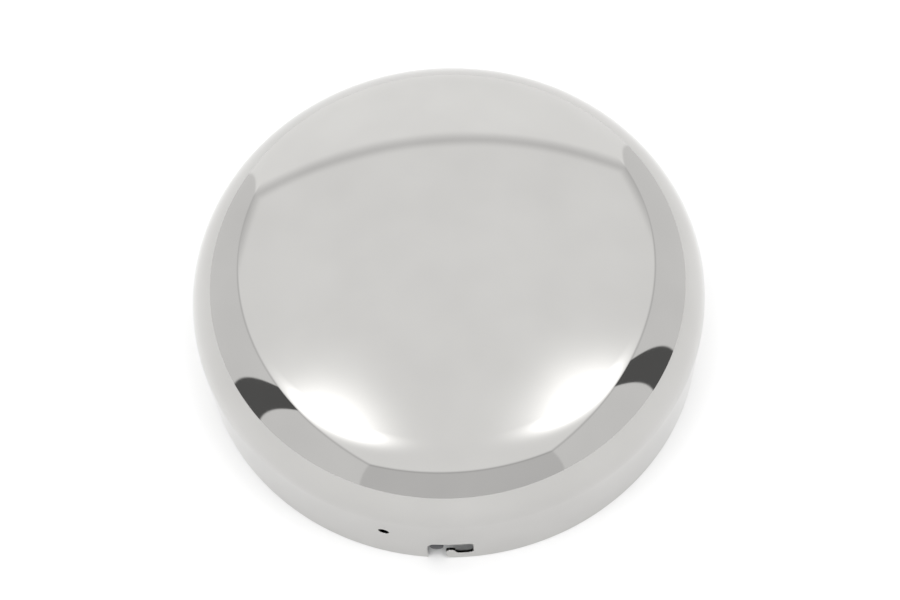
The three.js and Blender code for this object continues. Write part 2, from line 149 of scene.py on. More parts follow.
def new_material(name):
    """An empty node tree with a principled shader, its output, and the piece's own coordinates."""
    material = bpy.data.materials.new(name)
    material.use_nodes = True
    tree = material.node_tree
    tree.nodes.clear()
    shader = node(tree, "ShaderNodeBsdfPrincipled")
    node(tree, "ShaderNodeOutputMaterial", {"Surface": shader})
    place = node(tree, "ShaderNodeTexCoord").outputs["Object"]
    return material, tree, shader, place


def polished_stainless():
    """Stainless steel sheet, spun and mirror polished: near-sharp reflections of a warm grey,
    fine rings left by the mop, and a slow waviness of the drawn sheet that bends reflected edges."""
    material, tree, shader, place = new_material("polished_stainless_sheet")
    split = node(tree, "ShaderNodeSeparateXYZ", {0: place})
    radius = node(tree, "ShaderNodeVectorMath", {0: node(
        tree, "ShaderNodeCombineXYZ", {0: split.outputs[0], 1: split.outputs[1]},
    )}, operation="LENGTH")
    rings = node(tree, "ShaderNodeCombineXYZ", {
        0: node(tree, "ShaderNodeMath", {0: radius.outputs["Value"], 1: 1 / (0.9 * MM)},
                operation="MULTIPLY"),
        1: node(tree, "ShaderNodeMath", {0: split.outputs[2], 1: 1 / (0.9 * MM)},
                operation="MULTIPLY"),
        2: node(tree, "ShaderNodeMath", {
            0: node(tree, "ShaderNodeMath", {0: split.outputs[0], 1: split.outputs[1]},
                    operation="ARCTAN2"),
            1: 3.0,
        }, operation="MULTIPLY"),
    })
    mop = node(tree, "ShaderNodeTexNoise", {
        "Vector": rings, "Scale": 1.0, "Detail": 3.0, "Roughness": 0.6,
    })
    cloud = node(tree, "ShaderNodeTexNoise", {
        "Vector": place, "Scale": 1 / (26 * MM), "Detail": 2.0, "Roughness": 0.5,
    })
    shine = node(tree, "ShaderNodeMath", {
        0: mop.outputs[0],
        1: node(tree, "ShaderNodeMath", {0: cloud.outputs[0], 1: 0.5}, operation="MULTIPLY"),
    }, operation="ADD")
    rough = node(tree, "ShaderNodeMapRange", {
        "Value": shine, "From Min": 0.4, "From Max": 1.1, "To Min": 0.02, "To Max": 0.06,
    })
    tint = node(tree, "ShaderNodeValToRGB", {"Fac": cloud.outputs[0]}, stops=[
        (0.3, linear("B5B4B2")), (0.7, linear("B9B8B6")),
    ])
    wave = node(tree, "ShaderNodeTexNoise", {
        "Vector": place, "Scale": 1 / (34 * MM), "Detail": 1.0, "Roughness": 0.4,
    })
    waved = node(tree, "ShaderNodeBump", {
        "Strength": 1.0, "Distance": 0.07 * MM, "Height": wave.outputs[0],
    })
    brushed = node(tree, "ShaderNodeBump", {
        "Strength": 1.0, "Distance": 0.0004 * MM, "Height": mop.outputs[0], "Normal": waved,
    })
    shader.inputs["Metallic"].default_value = 1.0
    tree.links.new(tint.outputs[0], shader.inputs["Base Color"])
    tree.links.new(rough.outputs[0], shader.inputs["Roughness"])
    tree.links.new(brushed.outputs[0], shader.inputs["Normal"])
    return material


def rough_metal(name, dark, light, smoothest, roughest, grain, relief):
    """A metal with a fine even grain: cloudy colour between dark and light, roughness between
    two limits, and a bump of the given relief in millimetres from a grain of the given size."""
    material, tree, shader, place = new_material(name)
    cloud = node(tree, "ShaderNodeTexNoise", {
        "Vector": place, "Scale": 1 / (18 * MM), "Detail": 4.0, "Roughness": 0.55,
    })
    fine = node(tree, "ShaderNodeTexNoise", {
        "Vector": place, "Scale": 1 / (grain * MM), "Detail": 3.0, "Roughness": 0.6,
    })
    tint = node(tree, "ShaderNodeValToRGB", {"Fac": cloud.outputs[0]}, stops=[
        (0.32, linear(dark)), (0.68, linear(light)),
    ])
    mixed = node(tree, "ShaderNodeMath", {0: cloud.outputs[0], 1: fine.outputs[0]}, operation="ADD")
    rough = node(tree, "ShaderNodeMapRange", {
        "Value": mixed, "From Min": 0.6, "From Max": 1.4,
        "To Min": smoothest, "To Max": roughest,
    })
    bump = node(tree, "ShaderNodeBump", {
        "Strength": 1.0, "Distance": relief * MM, "Height": fine.outputs[0],
    })
    shader.inputs["Metallic"].default_value = 1.0
    tree.links.new(tint.outputs[0], shader.inputs["Base Color"])
    tree.links.new(rough.outputs[0], shader.inputs["Roughness"])
    tree.links.new(bump.outputs[0], shader.inputs["Normal"])
    return material


def galvanised_wire_cloth():
    """Knitted galvanised wire, about 0.25 mm thick: two crossing families of bright wire, drawn
    at 1.1 mm so that they show, over gaps full of more wire that are painted dark as shade."""
    material, tree, shader, place = new_material("galvanised_wire_cloth")
    split = node(tree, "ShaderNodeSeparateXYZ", {0: place})
    turn = node(tree, "ShaderNodeMath", {
        0: node(tree, "ShaderNodeMath", {0: split.outputs[0], 1: split.outputs[1]},
                operation="ARCTAN2"),
        1: 340.0,
    }, operation="MULTIPLY")
    rise = node(tree, "ShaderNodeMath", {0: split.outputs[2], 1: TAU / (1.1 * MM)},
                operation="MULTIPLY")
    families = []
    for operation in ("ADD", "SUBTRACT"):
        phase = node(tree, "ShaderNodeMath", {0: turn, 1: rise}, operation=operation)
        wave = node(tree, "ShaderNodeMath", {0: phase}, operation="SINE")
        families.append(node(tree, "ShaderNodeMapRange", {
            "Value": wave, "From Min": 0.1, "From Max": 0.95,
        }, interpolation_type="SMOOTHSTEP"))
    wires_and_shaded_gaps = node(tree, "ShaderNodeMath", {0: families[0], 1: families[1]}, operation="MAXIMUM")
    # Colour: the wire's own grey on the wire, and painted shade in the gaps, where the first, dark
    # stop stands in for the shadow deep in the pack.
    tint = node(tree, "ShaderNodeValToRGB", {"Fac": wires_and_shaded_gaps}, stops=[
        (0.0, linear("26241F")), (0.45, linear("8A867C")), (1.0, linear("C9C6BC")),
    ])
    bump = node(tree, "ShaderNodeBump", {"Strength": 1.0, "Distance": 0.25 * MM, "Height": wires_and_shaded_gaps})
    shader.inputs["Metallic"].default_value = 1.0
    shader.inputs["Roughness"].default_value = 0.42
    tree.links.new(tint.outputs[0], shader.inputs["Base Color"])
    tree.links.new(bump.outputs[0], shader.inputs["Normal"])
    return material


def fibrous(name, dark, light, fibre, relief, sheen):
    """A matt material of pressed fibres: speckled colour and a soft bump at the fibre's size."""
    material, tree, shader, place = new_material(name)
    fibres = node(tree, "ShaderNodeTexNoise", {
        "Vector": place, "Scale": 1 / (fibre * MM), "Detail": 5.0, "Roughness": 0.7,
        "Distortion": 1.5,
    })
    lumps = node(tree, "ShaderNodeTexNoise", {
        "Vector": place, "Scale": 1 / (6 * fibre * MM), "Detail": 2.0, "Roughness": 0.5,
    })
    mixed = node(tree, "ShaderNodeMath", {0: fibres.outputs[0], 1: lumps.outputs[0]},
                 operation="MULTIPLY")
    tint = node(tree, "ShaderNodeValToRGB", {"Fac": mixed}, stops=[
        (0.14, linear(dark)), (0.36, linear(light)),
    ])
    bump = node(tree, "ShaderNodeBump", {
        "Strength": 1.0, "Distance": relief * MM, "Height": mixed,
    })
    shader.inputs["Roughness"].default_value = 0.92
    shader.inputs["Sheen Weight"].default_value = sheen
    tree.links.new(tint.outputs[0], shader.inputs["Base Color"])
    tree.links.new(bump.outputs[0], shader.inputs["Normal"])
    return material


STAINLESS = polished_stainless()
# Bright zinc plate on rolled steel: a soft blurred shine, faintly cloudy between cool and warm grey.
ZINC = rough_metal("zinc_plated_steel", "A1A4A7", "B2B2AF", 0.26, 0.42, 0.35, 0.006)
# Black oxide on machined steel, oiled: a dark grey with a dull shine.
OXIDE = rough_metal("black_oxide_steel", "3A3B3E", "4C4D50", 0.34, 0.52, 0.3, 0.008)
# Hardened and tempered spring strip: smooth, blue-grey.
SPRING = rough_metal("tempered_spring_strip", "56606F", "6F7988", 0.2, 0.32, 0.5, 0.003)
WIRE = galvanised_wire_cloth()
# Pressed wool felt: matt, grey-brown, with a short nap.
FELT = fibrous("pressed_wool_felt", "6E675B", "9A9384", 0.35, 0.25, 0.4)
# Compressed fibre gasket sheet: hard, grey-green and speckled.
GASKET = fibrous("compressed_fibre_gasket", "4C534D", "69716A", 0.25, 0.03, 0.0)

FINISHES = {
    "polished_stainless": STAINLESS,
    "zinc_plate": ZINC,
    "black_oxide": OXIDE,
    "spring_steel": SPRING,
    "wire_mesh": WIRE,
    "felt": FELT,
    "gasket_fibre": GASKET,
}


# ---- shapes in the plane ----
def rounded(corners, steps=8, closed=False):
    """A line through corners (x, y, back, ahead). Each corner becomes a quarter of an ellipse in
    the slant axes of its two sides, from back before it to ahead after it:
    corner + back (1 - sin t) (towards the last corner) + ahead (1 - cos t) (towards the next)."""
    corners = np.array(corners, float)
    spots = corners[:, :2]
    line = []
    for i, (x, y, back, ahead) in enumerate(corners):
        end = not closed and i in (0, len(corners) - 1)
        if end or back == 0:
            line.append([[x, y]])
            continue
        before = spots[i - 1] - spots[i]
        after = spots[(i + 1) % len(spots)] - spots[i]
        before /= np.linalg.norm(before)
        after /= np.linalg.norm(after)
        t = np.linspace(0, np.pi / 2, steps + 1)[:, None]
        line.append(spots[i] + back * (1 - np.sin(t)) * before + ahead * (1 - np.cos(t)) * after)
    return np.concatenate(line)


def left_of(line, closed=False):
    """Unit vectors square to a line and to its left, from the chord between each point's
    neighbours."""
    if closed:
        along = np.roll(line, -1, 0) - np.roll(line, 1, 0)
    else:
        along = np.gradient(line, axis=0)
    along /= np.linalg.norm(along, axis=1)[:, None]
    return np.stack([-along[:, 1], along[:, 0]], 1)


def sheet(line, thickness, to_axis=False):
    """The section of a sheet whose outside is the line and whose metal lies to its left. Each
    free edge is a squared-off half round: depth sqrt(cos a), across sin a."""
    left = left_of(line)
    inside = line + left * thickness
    if to_axis:
        inside[-1, 0] = 0
    a = np.linspace(-np.pi / 2, np.pi / 2, 9)[1:-1, None]
    depth, across = np.sqrt(np.cos(a)) * thickness * 0.3, np.sin(a) * thickness / 2

    def edge(i, away, side):
        outwards = np.array([left[i, 1], -left[i, 0]]) * away
        return (line[i] + inside[i]) / 2 + outwards * depth - left[i] * across * side

    start = edge(0, -1, 1)
    if to_axis:
        return np.concatenate([inside[::-1], start, line])
    return np.concatenate([line, edge(-1, 1, -1), inside[::-1], start])


def bar(inner, outer, bottom, top, edge=0.15):
    """The section of a flat ring with rounded edges."""
    return rounded([
        (inner, bottom, edge, edge), (outer, bottom, edge, edge),
        (outer, top, edge, edge), (inner, top, edge, edge),
    ], steps=3, closed=True)


# ---- meshes ----
def quads(rows, columns, wrap_rows=True, wrap_columns=True):
    """The four-sided faces between neighbours on a grid of rows and columns."""
    i = np.arange(rows if wrap_rows else rows - 1)[:, None]
    j = np.arange(columns if wrap_columns else columns - 1)[None]
    i_next, j_next = (i + 1) % rows, (j + 1) % columns
    corners = [i * columns + j, i_next * columns + j, i_next * columns + j_next, i * columns + j_next]
    return np.stack(corners, -1).reshape(-1, 4)


def turned(section, segments=96, reshape=None):
    """The section's points (r, z) carried round the axis: (r cos t, r sin t, z). Reshape may
    change r from r, z and t, as a thread or a hexagon does."""
    t = np.arange(segments)[:, None] * TAU / segments
    r = section[None, :, 0] + 0 * t
    z = section[None, :, 1] + 0 * t
    if reshape:
        r = reshape(r, z, t)
    points = np.stack([r * np.cos(t), r * np.sin(t), z], -1).reshape(-1, 3)
    on_axis = section[0, 0] == 0 and section[-1, 0] == 0
    return points, quads(segments, len(section), wrap_columns=not on_axis).tolist()


def hexagon(across_flats):
    """Reshapes a round piece to a hexagon: r is at most the flat's distance over the cosine."""
    def reshape(r, z, t):
        sixth = (t + np.pi / 6) % (np.pi / 3) - np.pi / 6
        return np.minimum(r, across_flats / 2 / np.cos(sixth))
    return reshape


def thread(low, high, pitch, depth):
    """Reshapes a shank to a screw thread: r drops by a triangle wave of z / pitch - t / turn,
    which fades in over one pitch at each end."""
    def reshape(r, z, t):
        wave = np.abs((z / pitch - t / TAU) % 1 * 2 - 1)
        fade = np.clip((z - low) / pitch, 0, 1) * np.clip((high - z) / pitch, 0, 1)
        return r - depth * wave * fade
    return reshape


def mesh_of(name, points, faces):
    """A mesh in metres, with doubled points merged, so that seams and poles are closed."""
    mesh = bpy.data.meshes.new(name)
    mesh.from_pydata(np.asarray(points) * MM, [], faces)
    work = bmesh.new()
    work.from_mesh(mesh)
    bmesh.ops.remove_doubles(work, verts=work.verts, dist=1e-4 * MM)
    work.to_mesh(mesh)
    work.free()
    return mesh


def make(name, points, faces, finish, body, *nodes, soft_angle=32):
    """A finished piece: smooth apart from edges sharper than the soft angle, with its finish,
    riding on its body and standing for its CAD nodes."""
    piece = bpy.data.objects.new(name, mesh_of(name, points, faces))
    bpy.context.collection.objects.link(piece)
    piece.data.shade_smooth()
    piece.data.set_sharp_from_angle(angle=np.radians(soft_angle))
    piece.data.materials.append(FINISHES[finish])
    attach(piece, body)
    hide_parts(*nodes)
    return piece


def carve(piece, cutters, soft_angle=32):
    """Cuts closed shapes, each a (points, faces) pair, out of a piece."""
    tools = []
    for points, faces in cutters:
        mesh = mesh_of("cutter", points, faces)
        work = bmesh.new()
        work.from_mesh(mesh)
        bmesh.ops.recalc_face_normals(work, faces=work.faces)
        work.to_mesh(mesh)
        work.free()
        tool = bpy.data.objects.new("cutter", mesh)
        bpy.context.collection.objects.link(tool)
        tools.append(tool)
        cut = piece.modifiers.new("cut", "BOOLEAN")
        cut.operation = "DIFFERENCE"
        cut.solver = "EXACT"
        cut.object = tool
    whole = piece.evaluated_get(bpy.context.evaluated_depsgraph_get())
    carved = bpy.data.meshes.new_from_object(whole)
    piece.modifiers.clear()
    piece.data = carved
    piece.data.shade_smooth()
    piece.data.set_sharp_from_angle(angle=np.radians(soft_angle))
    for tool in tools:
        bpy.data.objects.remove(tool)


def moved(shape, turn=0.0, offset=(0, 0, 0), outwards=False):
    """A (points, faces) pair put in its place: laid on its side to point along -Y if outwards,
    then shifted, then turned about Z."""
    points, faces = shape
    if outwards:
        points = points @ np.array([[1, 0, 0], [0, 0, 1], [0, -1, 0]])
    points = points + np.array(offset)
    c, s = np.cos(turn), np.sin(turn)
    return points @ np.array([[c, s, 0], [-s, c, 0], [0, 0, 1]]), faces


def drill(radius, low, high):
    """A round cutter along Z."""
    return turned(np.array([[0, low], [radius, low], [radius, high], [0, high]]), 48)


# ---- cover ----
def dome_line(steps_wall=12, steps_shoulder=44, steps_crown=36):
    """The outside of the cover from rim to axis: an upright wall, a quarter-round shoulder, and a
    crown whose radius runs into the shoulder without a corner."""
    reach = COVER_RADIUS - SHOULDER_RADIUS
    rise = COVER_HEIGHT - WALL_HEIGHT - SHOULDER_RADIUS
    crown = SHOULDER_RADIUS + (reach**2 + rise**2) / (2 * rise)
    meet = np.arccos(reach / (crown - SHOULDER_RADIUS))
    wall = np.linspace(COVER_SHEET * 0.3, WALL_HEIGHT, steps_wall + 1)[:-1]
    a = np.linspace(0, meet, steps_shoulder + 1)[:-1]
    b = np.linspace(meet, np.pi / 2, steps_crown + 1)
    top = np.stack([crown * np.cos(b), COVER_HEIGHT - crown + crown * np.sin(b)], 1)
    top[-1, 0] = 0
    return np.concatenate([
        np.stack([0 * wall + COVER_RADIUS, wall], 1),
        np.stack([reach + SHOULDER_RADIUS * np.cos(a), WALL_HEIGHT + SHOULDER_RADIUS * np.sin(a)], 1),
        top,
    ])


def dome_normals(points):
    """Exact unit normals of the dome for points in millimetres, and how far outside it they are."""
    reach = COVER_RADIUS - SHOULDER_RADIUS
    rise = COVER_HEIGHT - WALL_HEIGHT - SHOULDER_RADIUS
    crown = SHOULDER_RADIUS + (reach**2 + rise**2) / (2 * rise)
    r = np.hypot(points[:, 0], points[:, 1])
    z = points[:, 2]
    lean = np.arctan2(r, z - COVER_HEIGHT + crown)
    on_crown = lean < np.arcsin(reach / (crown - SHOULDER_RADIUS))
    centre_r = np.where(on_crown, 0, reach)
    centre_z = np.where(on_crown, COVER_HEIGHT - crown, np.minimum(z, WALL_HEIGHT))
    size = np.where(on_crown, crown, SHOULDER_RADIUS)
    dr, dz = r - centre_r, z - centre_z
    length = np.maximum(np.hypot(dr, dz), 1e-9)
    share = dr / length / np.maximum(r, 1e-9)
    normals = np.stack([points[:, 0] * share, points[:, 1] * share, dz / length], 1)
    return normals, length - size


def slot_outline():
    """The slot seen from outside: (across, up) corners with their roundings, clockwise."""
    half = SLOT_MOUTH / 2
    return rounded([
        (-half, -BELOW_RIM, 0, 0),
        (-half, SLOT_TOP, SLOT_HEEL_UP, SLOT_HEEL_ALONG),
        (SLOT_END, SLOT_TOP, SLOT_END_ROUND, SLOT_END_ROUND),
        (SLOT_END, POCKET_FLOOR, SLOT_END_ROUND, SLOT_END_ROUND),
        (POCKET_START, POCKET_FLOOR, 0.9, 1.1),
        (BUMP_END, BUMP_TOP, 1.1, 0.9),
        (half, BUMP_TOP, BUMP_ROUND, BUMP_ROUND),
        (half, 0, LIP_UP, LIP_ALONG),
        (half + LIP_ALONG, 0, 0, 0),
        (half + LIP_ALONG, -BELOW_RIM, 0, 0),
    ], steps=7, closed=True)[::-1]


def wall_cutter(outline):
    """A closed outline (across, up) carried through the cover's wall along its radius, where
    across is an arc. It flares by a quarter round at both faces, which deburrs the cut."""
    a = np.linspace(0, np.pi / 2, 5)
    depth, flare = CUT_EDGE * (1 - np.sin(a)), CUT_EDGE * (1 - np.cos(a))
    outer, inner = COVER_RADIUS, COVER_RADIUS - COVER_SHEET
    radii = np.concatenate([[inner - 3], (inner + depth)[::-1], outer - depth, [outer + 3]])
    spread = np.concatenate([[CUT_EDGE], flare[::-1], flare, [CUT_EDGE]])
    line = outline[None] - left_of(outline, closed=True)[None] * spread[:, None, None]
    turn = line[..., 0] / COVER_RADIUS
    r = radii[:, None]
    points = np.stack([r * np.sin(turn), -r * np.cos(turn), line[..., 1]], -1).reshape(-1, 3)
    count = len(outline)
    faces = quads(len(radii), count, wrap_rows=False).tolist()
    faces += [list(range(count)), list(range((len(radii) - 1) * count, len(radii) * count))]
    return points, faces


def add_cover():
    section = sheet(dome_line(), COVER_SHEET, to_axis=True)
    cover = make("polished_cover", *turned(section, 360), "polished_stainless", "dome", "cover")
    slot = wall_cutter(slot_outline())
    t = np.linspace(0, TAU, 33)[:-1]
    circle = np.stack([np.cos(t), np.sin(t)], 1) * LOCK_HOLE["radius"]
    hole = wall_cutter(circle + [0, LOCK_HOLE["height"]])
    slots = [moved(slot, turn) for turn in SLOT_TURNS]
    carve(cover, [*slots, moved(hole, LOCK_HOLE["turn"])])
    spots = np.empty(len(cover.data.vertices) * 3)
    cover.data.vertices.foreach_get("co", spots)
    own = np.empty_like(spots)
    cover.data.vertices.foreach_get("normal", own)
    exact, outside = dome_normals(spots.reshape(-1, 3) / MM)
    smooth = np.abs(outside) < 1e-3
    normals = np.where(smooth[:, None], exact, own.reshape(-1, 3))
    cover.data.normals_split_custom_set_from_vertices(normals.tolist())


def add_pivot():
    low, high = span("cover_pivot")
    top, end, flange = high[2], low[2], high[0]
    clip_low, clip_high = span("pivot_clip")
    seat = span("hold_down_spring")[1][2] + 0.3
    section = rounded([
        (0, end, 0, 0), (4, end, 0.5, 0.5), (4, clip_low[2] - 0.2, 0.1, 0.1),
        (3.2, clip_low[2] - 0.2, 0.1, 0.1), (3.2, clip_high[2] + 0.2, 0.1, 0.1),
        (4, clip_high[2] + 0.2, 0.1, 0.1), (4, seat, 0.1, 0.1),
        (flange, seat, 0.3, 0.3), (flange, top, 0.3, 0.3), (0, top, 0, 0),
    ], steps=4)
    make("hold_down_pivot", *turned(section, 72), "zinc_plate", "dome", "cover_pivot")


# ---- hold-down ----
def add_spring():
    """A three-armed leaf spring. Its plan is a rounded star. Along each ray from the pivot hole to
    the edge of the star, z falls from hub to foot along half a cosine wave of the radius."""
    low, high = span("hold_down_spring")
    foot, hub = low[2], high[2] - SPRING_SHEET
    reach, half, tip_round, notch_round = 49.0, 5.0, 4.9, 23.0
    notch = half / np.sin(np.pi / 3)
    corners = []
    for turn in SPRING_TURNS:
        c, s = np.cos(turn), np.sin(turn)
        for y in (-half, half):
            corners.append((reach * c - y * s, reach * s + y * c, tip_round, tip_round))
        c, s = np.cos(turn + np.pi / 3), np.sin(turn + np.pi / 3)
        corners.append((notch * c, notch * s, notch_round, notch_round))
    edge = rounded(corners, steps=14, closed=True)
    edge = np.concatenate([
        edge[[i]] + (np.roll(edge, -1, 0)[[i]] - edge[[i]]) * np.linspace(0, 1, 5)[:-1, None]
        for i in range(len(edge))
    ])
    ray = edge / np.linalg.norm(edge, axis=1)[:, None]
    share = np.linspace(0, 1, 33)[None, :, None]
    plan = ray[:, None] * SPRING_HOLE * (1 - share) + edge[:, None] * share
    r = np.linalg.norm(plan, axis=2)
    fall = np.clip((r - 12) / 28, 0, 1)  # the slope lies between radii of 12 and 40 mm
    z = foot + (hub - foot) * (1 + np.cos(np.pi * fall)) / 2
    under = np.concatenate([plan, z[..., None]], 2)
    over = under[:, ::-1] + np.array([0, 0, SPRING_SHEET])
    points = np.concatenate([under, over], 1)
    faces = quads(len(edge), points.shape[1]).tolist()
    spring = make("leaf_spring", points.reshape(-1, 3), faces, "spring_steel", "hold_down",
                  "hold_down_spring")
    bevel = spring.modifiers.new("edges", "BEVEL")
    bevel.width = 0.12 * MM
    bevel.segments = 2
    bevel.limit_method = "ANGLE"


def add_hold_down():
    add_spring()
    low, high = span("pressure_ring")
    outer = high[0]
    section = bar(38, outer, low[2], high[2], 0.3)
    make("pressed_ring", *turned(section, 180), "zinc_plate", "hold_down", "pressure_ring")
    low, high = span("pressure_pad")
    section = bar(38.3, outer - 0.3, low[2], high[2], 0.25)
    make("felt_face", *turned(section, 180), "felt", "hold_down", "pressure_pad")
    low, high = span("spring_rivet_1")
    seat = span("hold_down_spring")[0][2] + SPRING_SHEET
    section = rounded([
        (0, low[2] + 0.05, 0, 0), (1.6, low[2] + 0.05, 0.1, 0.1), (1.6, seat, 0, 0),
        (3, seat, 0.1, 0.1), (2.9, high[2], 1.2, 1.9), (0, high[2], 0, 0),
    ], steps=6)
    for i, turn in enumerate(SPRING_TURNS):
        rivet = moved(turned(section, 36), turn, (RIVET_CIRCLE, 0, 0))
        make(f"rivet_{i + 1}", *rivet, "zinc_plate", "hold_down", f"spring_rivet_{i + 1}")


# ---- filter element ----
def perforated(radius, columns, low, high, hole_share):
    """A tube of square cells, each with a round hole, in rows shifted by half a cell. A cell is a
    grid of two rings, the square's border and the circle, with 16 points each."""
    pitch = TAU * radius / columns
    rows = int(round((high - low) / pitch))
    height = (high - low) / rows
    a = np.arange(16) * TAU / 16
    square = np.stack([np.cos(a), np.sin(a)], 1)
    square /= np.abs(square).max(1)[:, None]
    square = np.round(square * 2) / 2
    circle = np.stack([np.cos(a), np.sin(a)], 1) * hole_share
    cell = np.stack([square, circle]) / 2
    i = np.arange(rows)[:, None]
    j = np.arange(columns)[None]
    across = (j + 0.5 * (i % 2))[..., None, None] + cell[..., 0]
    up = (i + 0.5)[..., None, None] + cell[..., 1] + 0 * across
    turn = across * TAU / columns
    points = np.stack([radius * np.cos(turn), radius * np.sin(turn), low + up * height], -1)
    base = quads(2, 16, wrap_rows=False)
    faces = (base[None] + 32 * np.arange(rows * columns)[:, None, None]).reshape(-1, 4)
    return points.reshape(-1, 3), faces.tolist()


def add_element():
    low, high = span("element_top_cap")
    radius, top, lip = high[0], high[2], low[2]
    line = rounded([
        (radius, lip + 0.3, 0, 0), (radius, top, 1, 1), (30, top, 2, 2),
        (26, top - 3, 2, 2), (0, top - 3, 0, 0),
    ], steps=8)
    section = sheet(line, 0.8, to_axis=True)
    make("element_lid", *turned(section, 180), "zinc_plate", "element", "element_top_cap")
    low, high = span("element_base_cap")
    line = rounded([
        (36, high[2] - 0.3, 0, 0), (36, low[2], 1, 1), (radius, low[2], 1, 1),
        (radius, high[2] - 0.3, 0, 0),
    ], steps=8)
    make("element_tray", *turned(sheet(line, 0.8), 180), "zinc_plate", "element",
         "element_base_cap")
    for name, cad_node, columns in (
        ("perforated_core", "element_inner_tube", 52),
        ("perforated_screen", "element_outer_screen", 84),
    ):
        low, high = span(cad_node)
        tube = perforated(high[0] - 0.75, columns, low[2], high[2], 0.7)
        piece = make(name, *tube, "zinc_plate", "element", cad_node)
        wall = piece.modifiers.new("wall", "SOLIDIFY")
        wall.thickness = 0.7 * MM
        wall.offset = 1
    low, high = span("element_wire_mesh")
    add_wire_pack(high[0], low[2], high[2])
    low, high = span("element_base_seal")
    section = bar(45.5, high[0], low[2], high[2], 0.7)
    make("felt_seal", *turned(section, 180), "felt", "element", "element_base_seal")


def add_wire_pack(outer, low, high):
    """The knitted wire pack, quilted as it is rolled: r swells by sin of turn and of height."""
    z = np.linspace(low, high, 40)
    outside = np.stack([0 * z + outer - 0.35, z], 1)
    inside = np.stack([0 * z + 38.75, z[::-1]], 1)

    def quilted(r, z, t):
        swell = 0.3 * np.sin(46 * t + 9 * np.sin(z / 5)) * np.sin(TAU * z / 6.3)
        return r + swell
    section = np.concatenate([outside, inside])
    make("knitted_wire_pack", *turned(section, 420, quilted), "wire_mesh", "element",
         "element_wire_mesh", soft_angle=60)


# ---- backing plate and its fastenings ----
def add_plate():
    line = rounded([
        (PLATE_RADIUS, PLATE_SHEET * 0.3, 0, 0), (PLATE_RADIUS, 16, 3, 3), (64.2, 16, 0.7, 0.7),
        (62.7, 14.5, 0.7, 0.7), (44, 14.5, 1.2, 1.2), (40.5, 10, 1.2, 1.2),
        (27.2, 10, 1, 1), (27.2, 17.5 - PLATE_SHEET * 0.3, 0, 0),
    ], steps=8)
    section = sheet(line, PLATE_SHEET)
    plate = make("pressed_plate", *turned(section, 360), "zinc_plate", "base", "backing_plate")
    screws = [moved(drill(SCREW_HOLE, 5, 14), turn, (SCREW_CIRCLE, 0, 0)) for turn in SCREW_TURNS]
    studs = [
        moved(drill(STUD_HOLE, -3, 3), turn, (0, -PLATE_RADIUS, STUD_HEIGHT), outwards=True)
        for turn in SLOT_TURNS
    ]
    carve(plate, screws + studs)


def add_carburettor_joint():
    for name, cad_node, finish, inner in (
        ("fibre_gasket", "carburettor_gasket", "gasket_fibre", 26.3),
        ("clamping_ring", "clamp_ring", "zinc_plate", 28.5),
    ):
        low, high = span(cad_node)
        section = bar(inner, high[0], low[2], high[2], 0.25)
        ring = make(name, *turned(section, 180), finish, "base", cad_node)
        holes = [moved(drill(SCREW_HOLE, 0, 20), turn, (SCREW_CIRCLE, 0, 0)) for turn in SCREW_TURNS]
        carve(ring, holes)
    low, high = span("mounting_screw_1")
    tip, top = low[2], high[2]
    seat = top - 3
    shank = np.linspace(tip + 0.6, seat - 1.2, 90)
    section = np.concatenate([
        [[0, tip], [1.8, tip]],
        np.stack([0 * shank + 2.4, shank], 1),
        rounded([
            (2.4, seat - 1, 0, 0), (2.4, seat, 0.1, 0.1), (3.9, seat, 0, 0),
            (4.7, seat + 0.4, 0, 0), (4.7, top - 0.7, 0, 0), (3.7, top, 0.05, 0.05), (0, top, 0, 0),
        ], steps=3),
    ])
    section = fine_heights(section, seat, top)
    hexagonal, threaded = hexagon(8), thread(tip, seat - 1.2, 0.8, 0.42)

    def reshape(r, z, t):
        return np.where(z > seat - 1.1, hexagonal(r, z, t), threaded(r, z, t))
    for i, turn in enumerate(SCREW_TURNS):
        screw = moved(turned(section, 72, reshape), turn, (SCREW_CIRCLE, 0, 0))
        make(f"hexagon_screw_{i + 1}", *screw, "black_oxide", "base", f"mounting_screw_{i + 1}",
             soft_angle=28)


def fine_heights(section, low, high):
    """Adds points between those above low, so that a hexagon's chamfer shows its curved edge."""
    fine = []
    for here, ahead in zip(section[:-1], section[1:]):
        count = 5 if here[1] >= low and ahead[1] <= high and here[0] > 2.5 else 1
        fine.append(here + (ahead - here) * np.arange(count)[:, None] / count)
    return np.concatenate([*fine, section[-1:]])


